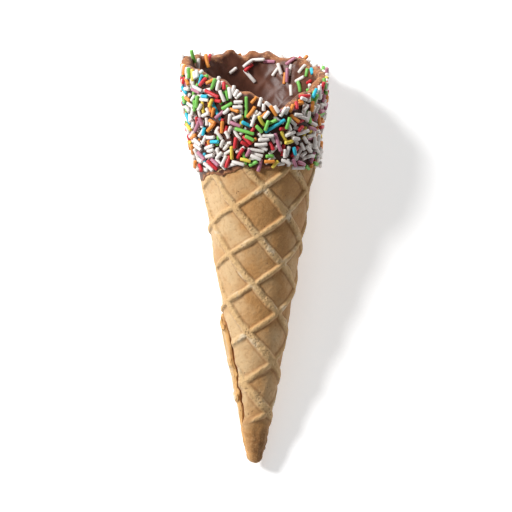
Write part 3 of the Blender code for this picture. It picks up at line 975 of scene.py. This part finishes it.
def model_rod(bend):
    """A sugar rod along Z, of the usual length, with rounded edges, and bent by some degrees."""
    bpy.ops.mesh.primitive_cylinder_add(vertices=ROD_SIDES, radius=SPRINKLE_RADIUS, depth=SPRINKLE_USUAL)
    rod = bpy.context.object
    bpy.ops.object.mode_set(mode="EDIT")
    bpy.ops.mesh.select_mode(type="FACE")
    bpy.ops.mesh.select_all(action="DESELECT")
    bpy.ops.mesh.select_face_by_sides(number=ROD_SIDES, type="EQUAL")
    bpy.ops.mesh.bevel(offset=ROD_ROUNDING, segments=2, affect="EDGES")
    if bend:
        for height in (-0.8 * MM, 0.8 * MM):
            bpy.ops.mesh.select_all(action="SELECT")
            bpy.ops.mesh.bisect(plane_co=(0, 0, height), plane_no=(0, 0, 1))
    bpy.ops.object.mode_set(mode="OBJECT")
    if bend:
        modifier = rod.modifiers.new("bend", "SIMPLE_DEFORM")
        modifier.deform_method = "BEND"
        modifier.deform_axis = "X"
        modifier.angle = math.radians(bend)
        bpy.ops.object.modifier_apply(modifier=modifier.name)
    rod.data.shade_smooth()
    return rod


def place_rod(model, name, ends, roll, tint):
    """A copy of a modelled rod, with a mesh of its own, brought to its length between two ends."""
    mesh = model.data.copy()
    axis = ends[1] - ends[0]
    stretch = axis.length - SPRINKLE_USUAL
    shaft = SPRINKLE_USUAL - 2 * ROD_ROUNDING
    for vert in mesh.vertices:
        vert.co.z += stretch * max(-0.5, min(0.5, vert.co.z / shaft))
    aim = axis.to_track_quat("Z", "Y").to_matrix().to_4x4()
    mesh.transform(Matrix.Translation((ends[0] + ends[1]) / 2) @ aim @ Matrix.Rotation(roll, 4, "Z"))
    keep_in_box(mesh)
    tints = mesh.attributes.new("tint", "FLOAT", "POINT")
    tints.data.foreach_set("value", [tint] * len(mesh.vertices))
    rod = bpy.data.objects.new(name, mesh)
    bpy.context.scene.collection.objects.link(rod)
    return rod


def fit_in_frame(ends):
    """Ends in the frame, pressed into the chocolate where the sprinkle would reach out of the box."""
    ends = [LYING @ end for end in ends]
    room = SPRINKLE_RADIUS * 1.02
    for end in ends:
        for i in range(3):
            end[i] = min(max(end[i], cad_box[0][i] + room), cad_box[1][i] - room)
    return ends


def make_sprinkles():
    """One piece for each colour of sprinkle."""
    rng = random.Random(SPRINKLE_SEED + 1)
    models = [model_rod(bend) for bend in ROD_BENDS]
    rods = {name: [] for name in SUGAR_COLOURS}
    for ends, name in pile_up_sprinkles():
        roll = rng.uniform(0, FULL_TURN)
        rod = place_rod(rng.choice(models), "rod", fit_in_frame(ends), roll, rng.uniform(-1, 1))
        rods[name].append(rod)
    for model in models:
        bpy.data.objects.remove(model)
    return {name: join(rods[name], "sprinkles_" + name) for name in rods}


def add_node(tree, kind, inputs=(), **settings):
    """A shader node with settings, and values or links for its inputs."""
    node = tree.nodes.new(kind)
    for name, value in settings.items():
        setattr(node, name, value)
    for name, value in dict(inputs).items():
        if isinstance(value, bpy.types.NodeSocket):
            tree.links.new(value, node.inputs[name])
        else:
            node.inputs[name].default_value = value
    return node


def new_material(name):
    material = bpy.data.materials.new(name)
    material.use_nodes = True
    tree = material.node_tree
    return material, tree, tree.nodes["Principled BSDF"]


def mixed(tree, share, first, second):
    """A colour between two colours or colour sockets, by a value or a value socket."""
    node = add_node(tree, "ShaderNodeMix", data_type="RGBA")
    for socket, value in ((node.inputs[0], share), (node.inputs[6], first), (node.inputs[7], second)):
        if isinstance(value, bpy.types.NodeSocket):
            tree.links.new(value, socket)
        elif socket.type == "RGBA":
            socket.default_value = (*value, 1)
        else:
            socket.default_value = value
    return node.outputs[2]


def calculated(tree, operation, first, second=0.0, third=0.0):
    node = add_node(tree, "ShaderNodeMath", operation=operation, inputs={0: first, 1: second})
    if operation == "MULTIPLY_ADD":
        node.inputs[2].default_value = third
    return node.outputs[0]


def times(tree, first, second):
    return calculated(tree, "MULTIPLY", first, second)


def plus(tree, first, second):
    return calculated(tree, "ADD", first, second)


def pattern(tree, kind, place, scale, **settings):
    """A texture node of a kind, laid out on places at a scale."""
    return add_node(tree, kind, {"Vector": place, "Scale": scale}, **settings)


def ramp(tree, value, low, high, to_low=0.0, to_high=1.0):
    """A smooth ramp of a value between two bounds."""
    inputs = {"Value": value, "From Min": low, "From Max": high, "To Min": to_low, "To Max": to_high}
    return add_node(tree, "ShaderNodeMapRange", inputs, interpolation_type="SMOOTHSTEP").outputs[0]


def make_speckle_group():
    """Unevenness shared by the materials: soft blotches, fine grain, small pits and broken bubbles."""
    tree = bpy.data.node_groups.new("speckle", "ShaderNodeTree")
    for name, default in SPECKLE_SIZES.items():
        socket = tree.interface.new_socket(name, in_out="INPUT", socket_type="NodeSocketFloat")
        socket.default_value = default
    for name in ("Blotches", "Grain", "Pits", "Bubbles"):
        tree.interface.new_socket(name, in_out="OUTPUT", socket_type="NodeSocketFloat")
    inside = tree.nodes.new("NodeGroupInput")
    outside = tree.nodes.new("NodeGroupOutput")
    place = add_node(tree, "ShaderNodeTexCoord").outputs["Object"]
    scales = {name: calculated(tree, "DIVIDE", 1000.0, inside.outputs[name]) for name in SPECKLE_SIZES}

    def clouds(scale, detail):
        cloud = pattern(tree, "ShaderNodeTexNoise", place, scale)
        cloud.inputs["Detail"].default_value = detail
        return cloud.outputs["Fac"]

    tree.links.new(clouds(scales["Blotch Size"], 3.0), outside.inputs["Blotches"])
    tree.links.new(clouds(scales["Grain Size"], 4.0), outside.inputs["Grain"])
    cells = pattern(tree, "ShaderNodeTexVoronoi", place, scales["Pit Size"])
    limit = ramp(tree, clouds(PIT_PATCHES, 1.0), 0.52, 0.70, 0.0, 0.22)
    depth = calculated(tree, "SUBTRACT", limit, cells.outputs["Distance"])
    tree.links.new(ramp(tree, depth, 0.0, 0.12), outside.inputs["Pits"])
    walls = pattern(
        tree, "ShaderNodeTexVoronoi", place, scales["Bubble Size"], feature="DISTANCE_TO_EDGE"
    )
    some = ramp(tree, clouds(BUBBLE_PATCHES, 1.0), 0.47, 0.56)
    broken = times(tree, ramp(tree, walls.outputs["Distance"], 0.15, 0.34), some)
    tree.links.new(broken, outside.inputs["Bubbles"])
    return tree


def add_speckle(tree, group, **sizes):
    """The outputs of the speckle group by name, with some of its sizes in millimetres."""
    node = add_node(tree, "ShaderNodeGroup", node_tree=group)
    for name, value in sizes.items():
        node.inputs[name.title() + " Size"].default_value = value
    return node.outputs


def add_bump(tree, shader, height, depth):
    bump = add_node(tree, "ShaderNodeBump", {"Height": height, "Distance": depth, "Strength": 1.0})
    tree.links.new(bump.outputs["Normal"], shader.inputs["Normal"])


def mark(tree, name):
    return add_node(tree, "ShaderNodeAttribute", attribute_name=name).outputs["Fac"]


def wafer_material(group):
    """Baked wafer: paler ribs, cells browned in blotches, a golden crust at the edges, painted shade on
    the right front, in the creases, the crack and the pits, and floury patches with painted highlight.
    """
    material, tree, shader = new_material("baked_wafer")
    speckle = add_speckle(tree, group, blotch=8.0, grain=0.55, pit=1.5, bubble=1.25)
    coarse = add_speckle(tree, group, blotch=1.8, grain=1.2)["Grain"]
    grain = speckle["Grain"]
    blotches = speckle["Blotches"]
    toast_and_shade = mark(tree, "toast_and_shade")
    broad = mark(tree, "broad")
    up = calculated(tree, "MAXIMUM", mark(tree, "narrow"), broad)
    ribs = ramp(tree, up, 0.0, 0.8)
    # Pale to browned by the fifth mark: real browning at the tip and between the ribs, and painted shade
    # on the right front.
    toast_and_shade_share = plus(tree, toast_and_shade, ramp(tree, blotches, 0.30, 0.70, -0.42, 0.36))
    colour = mixed(tree, toast_and_shade_share, WAFER_PALE, WAFER_TOAST_AND_SHADE)
    colour = mixed(tree, ramp(tree, toast_and_shade, 1.0, 2.0), colour, WAFER_BROWNEST_AND_SHADE)
    colour = mixed(tree, ramp(tree, grain, 0.40, 0.75, 0.0, 0.35), colour, WAFER_GRAIN)
    colour = mixed(tree, ramp(tree, coarse, 0.50, 0.30, 0.0, 0.35), colour, WAFER_FLECKS)
    colour = mixed(tree, times(tree, ribs, 0.45), colour, WAFER_RIBS)
    # Painted shade at the feet of the ribs, strongest on the browner right front, partly a baked crease.
    crease_shade = times(tree, ramp(tree, up, -0.55, -0.10), ramp(tree, up, 0.40, 0.0))
    crease_shade = times(tree, crease_shade, ramp(tree, toast_and_shade, 0.0, 0.6, 0.0, 0.42))
    colour = mixed(tree, crease_shade, colour, WAFER_CREASE_SHADE)
    # Pale floury patches on the ribs, kept mostly to the paler left, the lit side: partly flour, partly
    # painted highlight.
    flour_and_highlight = times(tree, ramp(tree, blotches, 0.43, 0.31), ribs)
    flour_and_highlight = times(tree, flour_and_highlight, ramp(tree, toast_and_shade, 1.0, 0.4, 0.2, 0.6))
    colour = mixed(tree, flour_and_highlight, colour, WAFER_FLOUR_AND_HIGHLIGHT)
    colour = mixed(tree, mark(tree, "crust"), colour, WAFER_CRUST)
    # Painted shade, partly toasted, in the crack under the outer layer's lip.
    colour = mixed(tree, mark(tree, "crack_shade"), colour, WAFER_CRACK_SHADE)
    torn = times(tree, ramp(tree, broad, 0.3, 0.9), ramp(tree, toast_and_shade, 0.06, 0.18))
    bubbles = times(tree, speckle["Bubbles"], torn)
    hollows_and_shade = calculated(tree, "MAXIMUM", speckle["Pits"], times(tree, bubbles, 0.85))
    # The pits and broken bubbles are painted dark: painted shade in the hollows.
    colour = mixed(tree, times(tree, hollows_and_shade, 0.55), colour, WAFER_HOLLOW_SHADE)
    tree.links.new(colour, shader.inputs["Base Color"])
    tree.links.new(ramp(tree, grain, 0.3, 0.7, 0.62, 0.85), shader.inputs["Roughness"])
    shader.inputs["Specular IOR Level"].default_value = 0.3
    shader.inputs["Sheen Weight"].default_value = 0.08
    shader.inputs["Sheen Roughness"].default_value = 0.5
    height = calculated(tree, "SUBTRACT", times(tree, grain, 0.45), hollows_and_shade)
    porous = times(tree, coarse, calculated(tree, "MULTIPLY_ADD", ribs, 1.6, 0.9))
    sharper = times(tree, ramp(tree, up, -0.15, 0.85), RIB_SHARPNESS)
    height = plus(tree, plus(tree, height, porous), sharper)
    add_bump(tree, shader, height, WAFER_BUMP)
    return material


def chocolate_material(group):
    """Set milk chocolate, half gloss, darker outside with painted shade between the sprinkles, thin and
    crumbly at the rim and the border.
    """
    material, tree, shader = new_material("set_chocolate")
    speckle = add_speckle(tree, group, blotch=4.0, grain=0.4, pit=1.2)
    coarse = add_speckle(tree, group, grain=1.3)["Grain"]
    blotches = speckle["Blotches"]
    edge = mark(tree, "crust")
    colour = mixed(tree, ramp(tree, blotches, 0.35, 0.70), CHOCOLATE_DEEP, CHOCOLATE_PALE)
    # Painted shade: the chocolate outside is darker, as between the sprinkles.
    colour = mixed(tree, times(tree, mark(tree, "toast_and_shade"), 0.8), colour, CHOCOLATE_OUTSIDE_SHADE)
    thin = times(tree, edge, ramp(tree, blotches, 0.36, 0.54, 0.25, 1.0))
    colour = mixed(tree, thin, colour, CHOCOLATE_THIN)
    crumbs = times(tree, edge, ramp(tree, coarse, 0.52, 0.60, 0.0, 0.75))
    colour = mixed(tree, crumbs, colour, CHOCOLATE_CRUMBS)
    tree.links.new(colour, shader.inputs["Base Color"])
    roughness = calculated(tree, "MULTIPLY_ADD", thin, 0.20, 0.40)
    roughness = plus(tree, roughness, ramp(tree, blotches, 0.3, 0.7, 0.0, 0.10))
    tree.links.new(roughness, shader.inputs["Roughness"])
    shader.inputs["Specular IOR Level"].default_value = 0.36
    height = plus(tree, plus(tree, times(tree, speckle["Grain"], 0.25), blotches), crumbs)
    add_bump(tree, shader, height, CHOCOLATE_BUMP)
    return material


def sugar_material(name, colour, group):
    """Coloured sugar, a little uneven, and a shade lighter or darker from rod to rod."""
    material, tree, shader = new_material("sugar_" + name)
    speckle = add_speckle(tree, group, blotch=1.6, grain=0.3)
    blotches = speckle["Blotches"]
    darker = tuple(SUGAR_SHADE * part for part in colour)
    shade = calculated(tree, "MULTIPLY_ADD", mark(tree, "tint"), 0.28, 0.35)
    base = mixed(tree, shade, colour, darker)
    base = mixed(tree, ramp(tree, blotches, 0.55, 0.85, 0.0, 0.35), base, darker)
    tree.links.new(base, shader.inputs["Base Color"])
    tree.links.new(ramp(tree, speckle["Grain"], 0.3, 0.7, 0.38, 0.55), shader.inputs["Roughness"])
    add_bump(tree, shader, blotches, SUGAR_BUMP)
    return material


def floor_material(group):
    """Plain pale floor, faintly lit from within, so that the shadow on it stays light."""
    material, tree, shader = new_material("pale_floor")
    speckle = add_speckle(tree, group, blotch=60.0, grain=3.0)
    colour = mixed(tree, speckle["Blotches"], *FLOOR_GREYS)
    tree.links.new(colour, shader.inputs["Base Color"])
    shader.inputs["Roughness"].default_value = 0.8
    shader.inputs["Emission Color"].default_value = (1, 1, 1, 1)
    shader.inputs["Emission Strength"].default_value = FLOOR_GLOW
    return material


def dress(piece, material, node):
    """Gives a piece its finish, and its place in the model."""
    piece.data.materials.clear()
    piece.data.materials.append(material)
    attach(piece, "root")
    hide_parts(node)


def add_floor(material):
    bpy.ops.mesh.primitive_plane_add(size=FLOOR_SIZE, location=(0, 0, 0))
    floor = bpy.context.object
    floor.name = "floor"
    floor.data.materials.append(material)


def add_light(name, target, side, power):
    """A round soft light, some way off on one side of what it lights."""
    light = bpy.data.lights.new(name, "AREA")
    light.shape = "DISK"
    light.size = LIGHT_SIZE
    light.energy = power
    place = target + side * LIGHT_DISTANCE
    lamp = bpy.data.objects.new(name, light)
    bpy.context.scene.collection.objects.link(lamp)
    lamp.location = place
    lamp.rotation_euler = (target - place).to_track_quat("-Z", "Y").to_euler()


def add_camera():
    """Square to the cone's axis, from far enough for an almost parallel view."""
    camera_data = bpy.data.cameras.new("camera")
    camera_data.lens = LENS_MM
    camera_data.sensor_width = SENSOR_MM
    camera_data.clip_end = CAMERA_REACH
    camera = bpy.data.objects.new("camera", camera_data)
    bpy.context.scene.collection.objects.link(camera)
    distance = PHOTO_WIDTH * LENS_MM / SENSOR_MM
    camera.location = LYING @ Vector((0, MIDDLE_FROM_TIP, distance))
    camera.rotation_euler = (RESTING_TILT, 0, 0)
    bpy.context.scene.camera = camera


def light_studio():
    middle = LYING @ Vector((0, LIT_MIDDLE, 0))
    add_light("key", middle, *KEY_LIGHT)
    add_light("top", middle, *TOP_LIGHT)
    world = bpy.data.worlds.new("studio")
    world.use_nodes = True
    background = world.node_tree.nodes["Background"]
    background.inputs["Color"].default_value = (1, 1, 1, 1)
    background.inputs["Strength"].default_value = WORLD_LIGHT
    bpy.context.scene.world = world
    bpy.context.scene.view_settings.view_transform = "Standard"


choose([])
speckle_group = make_speckle_group()

wafer = make_wafer()
wafer.data.shade_smooth()
dress(wafer, wafer_material(speckle_group), "waffle_cone")

coat = make_coat()
coat.data.shade_smooth()
dress(coat, chocolate_material(speckle_group), "chocolate_dip")

for name, sprinkles in make_sprinkles().items():
    colour = SUGAR_COLOURS[name][1]
    dress(sprinkles, sugar_material(name, colour, speckle_group), "chocolate_dip")

add_floor(floor_material(speckle_group))
light_studio()
add_camera()
